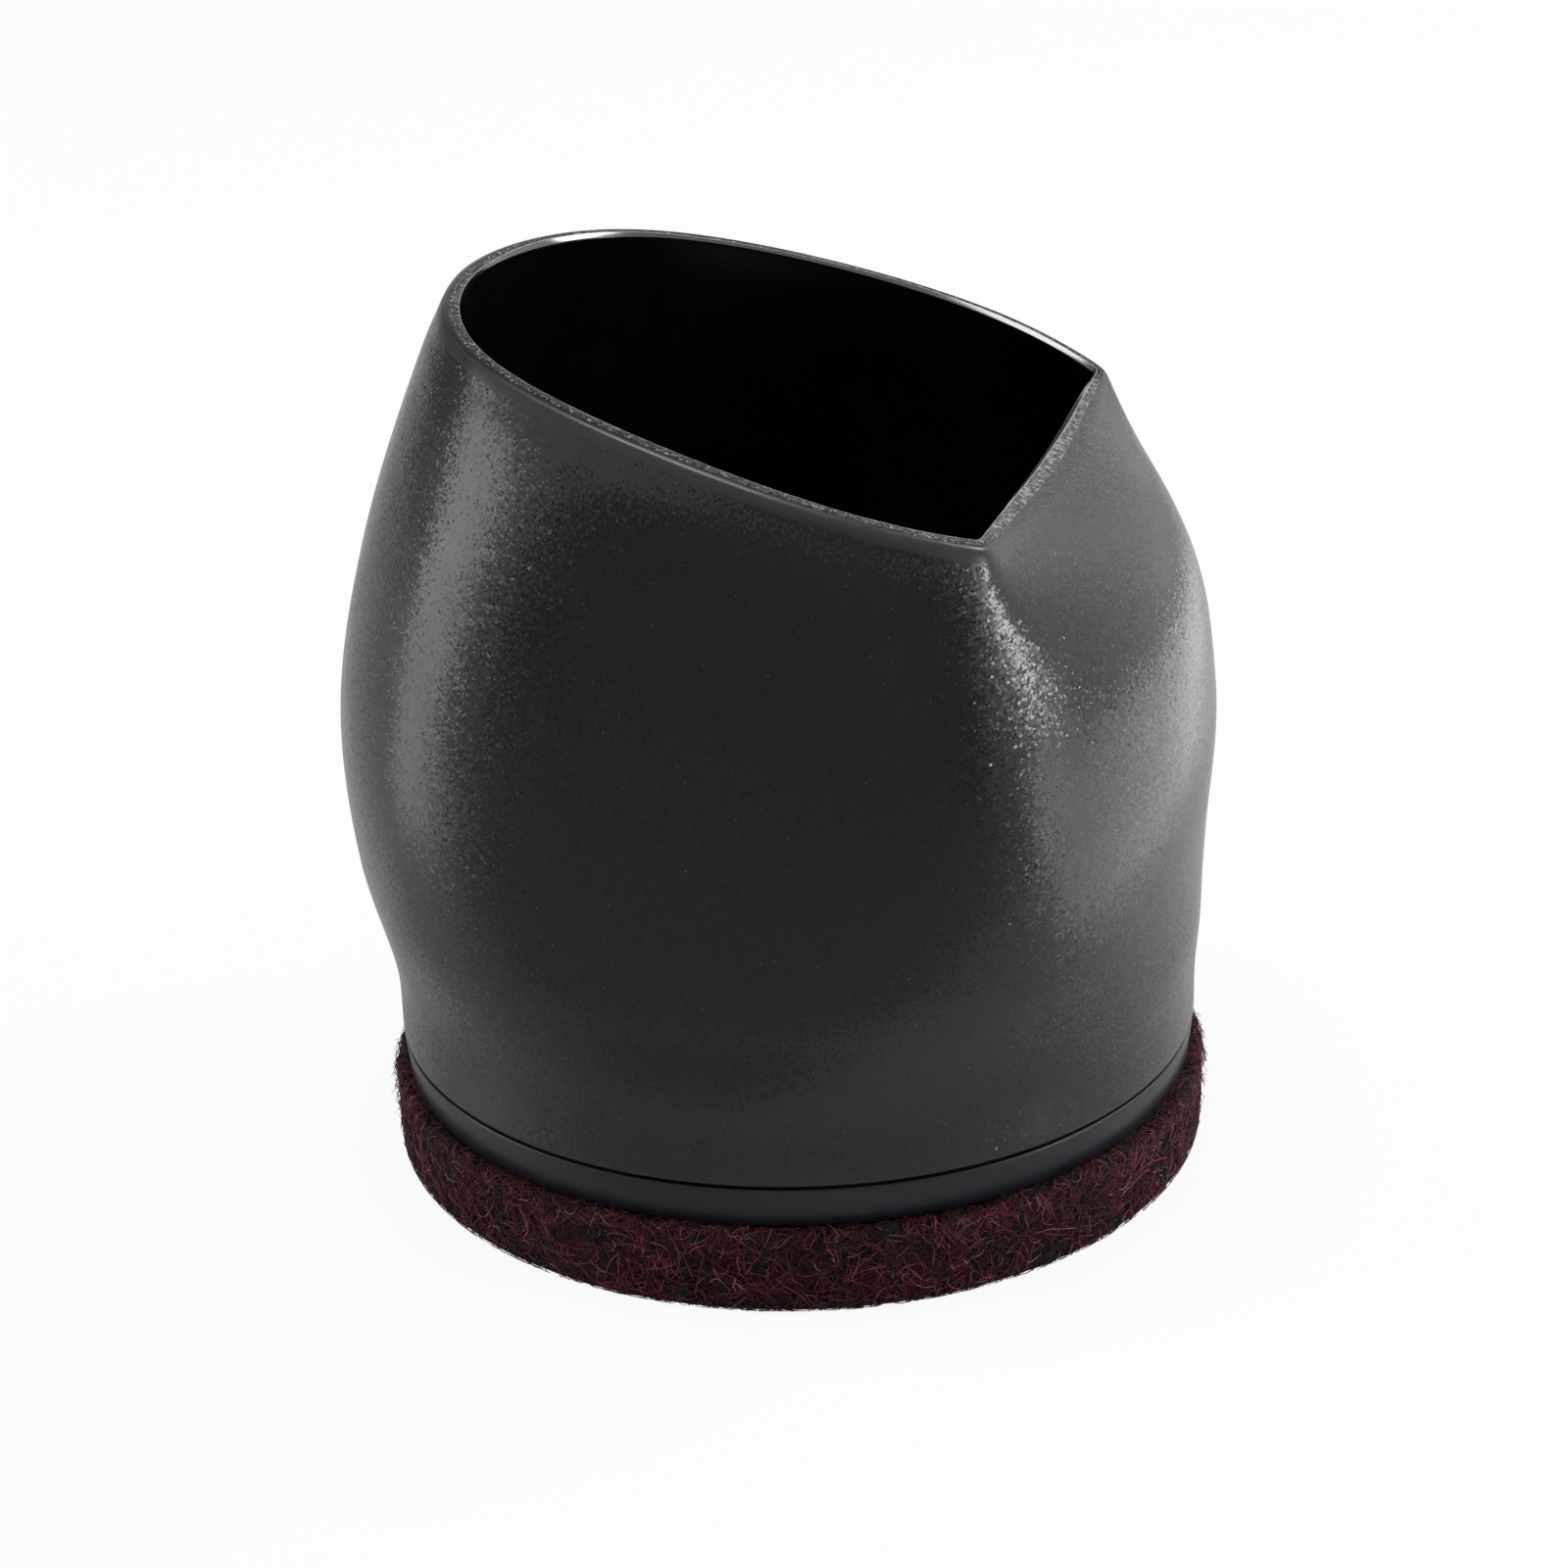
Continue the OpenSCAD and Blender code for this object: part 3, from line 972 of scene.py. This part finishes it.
def build_camera():
    back = from_direction(CAMERA_AZIMUTH, CAMERA_ELEVATION)
    turn = math.radians(CAMERA_AZIMUTH)
    roll = math.radians(CAMERA_ROLL)
    level_right = Vector((math.cos(turn), math.sin(turn), 0))
    level_up = back.cross(level_right)
    right = math.cos(roll) * level_right - math.sin(roll) * level_up
    up = math.sin(roll) * level_right + math.cos(roll) * level_up
    place = back * CAMERA_DISTANCE - right * CAMERA_ASIDE + up * CAMERA_RISE
    data = bpy.data.cameras.new("camera")
    data.sensor_width = SENSOR_WIDTH
    data.lens = FOCAL_PIXELS / IMAGE_SIZE * SENSOR_WIDTH
    data.clip_start = CLIP_START
    camera = new_object("camera", data)
    turned = Matrix((right, up, back)).transposed().to_4x4()
    camera.matrix_world = Matrix.Translation(place * MM) @ turned
    bpy.context.scene.camera = camera


# The object

build_cup()
build_plate()
build_felt_body()
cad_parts["adhesive_film"].data.materials.clear()
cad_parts["adhesive_film"].data.materials.append(adhesive())

maroon = fibre("felt_maroon_fibre", [
    (0.2, (0.022, 0.004, 0.006)),
    (0.5, (0.13, 0.02, 0.029)),
    (0.75, (0.3, 0.058, 0.075)),
    (0.88, (0.42, 0.18, 0.2)),
], gloss=0.3)
black = fibre("felt_black_fibre", [
    (0.3, (0.003, 0.0025, 0.003)),
    (0.8, (0.02, 0.015, 0.017)),
], gloss=0.3)
pale = fibre("felt_pale_fibre", [
    (0.3, (0.2, 0.1, 0.1)),
    (0.8, (0.5, 0.36, 0.36)),
], gloss=0.4)
build_fibres(
    "felt_fibres_black", black, tries=5400, length=(1, 3.4), thick=(0.025, 0.045),
    lift=(-0.06, 0.06), loose=0.1, patch=-1, lowest=0.5, seed=31,
)
build_fibres(
    "felt_fibres_maroon", maroon, tries=7000, length=(0.8, 3), thick=(0.02, 0.042),
    lift=(-0.06, 0.08), loose=0.1, patch=1, lowest=0.5, seed=37,
)
build_fibres(
    "felt_fibres_long", maroon, tries=160, length=(3, 5.5), thick=(0.02, 0.035),
    lift=(0.02, 0.12), loose=0.1, patch=0, lowest=0.8, seed=47,
)
build_fibres(
    "felt_fibres_pale", pale, tries=420, length=(0.5, 1.6), thick=(0.016, 0.026),
    lift=(0, 0.09), loose=0.15, patch=0, lowest=0.5, seed=41,
)
build_fibres(
    "felt_fibres_edge", maroon, tries=1700, length=(0.6, 1.7), thick=(0.02, 0.034),
    lift=(0, 0.2), loose=0.7, patch=0, lowest=5.8, seed=43,
)
build_fibres(
    "felt_fibres_dark_edge", black, tries=1700, length=(0.6, 1.7), thick=(0.02, 0.034),
    lift=(0, 0.26), loose=0.7, patch=0, lowest=5.8, seed=53,
)

# The stage, whose screens and lamps stand where the black cup mirrors them

build_floor()
build_world()
build_screen("screen_front", azimuth=8, distance=0.6, width=1.5, low=0, high=0.4, grey=0.5)
build_screen("screen_left", azimuth=-116, distance=0.6, width=0.56, low=0.03, high=0.4, grey=0.25)
build_screen("screen_behind", azimuth=206, distance=0.7, width=0.9, low=0.31, high=0.95, grey=0.25)
build_screen(
    "screen_floor", azimuth=8, distance=0.35, width=0.36, low=0, high=0.29, grey=0.5, lying=True
)
build_soft_light("lamp_left", azimuth=-75, elevation=8, width=0.2, height=0.26, watts=1.45)
build_light("lamp_right", azimuth=87, elevation=9, width=0.07, height=0.135, watts=0.9)
build_light(
    "lamp_corner", azimuth=79, elevation=15, width=0.22, height=0.05, watts=0.3, distance=0.62
)
build_soft_light("lamp_behind", azimuth=132, elevation=10, width=0.36, height=0.34, watts=0.57)
build_light(
    "lamp_table", azimuth=120, elevation=-7, width=0.33, height=0.3, watts=0.46,
    distance=0.27, lying=True,
)
build_light(
    "lamp_table_left", azimuth=-73, elevation=-7.8, width=0.26, height=0.1, watts=0.1,
    distance=0.24, lying=True,
)
build_light("lamp_above", azimuth=-75, elevation=84, width=0.22, height=0.22, watts=1.6)
build_light("lamp_high", azimuth=129, elevation=45, width=0.17, height=0.16, watts=1.3)
build_camera()

bpy.context.scene.view_settings.view_transform = "Standard"
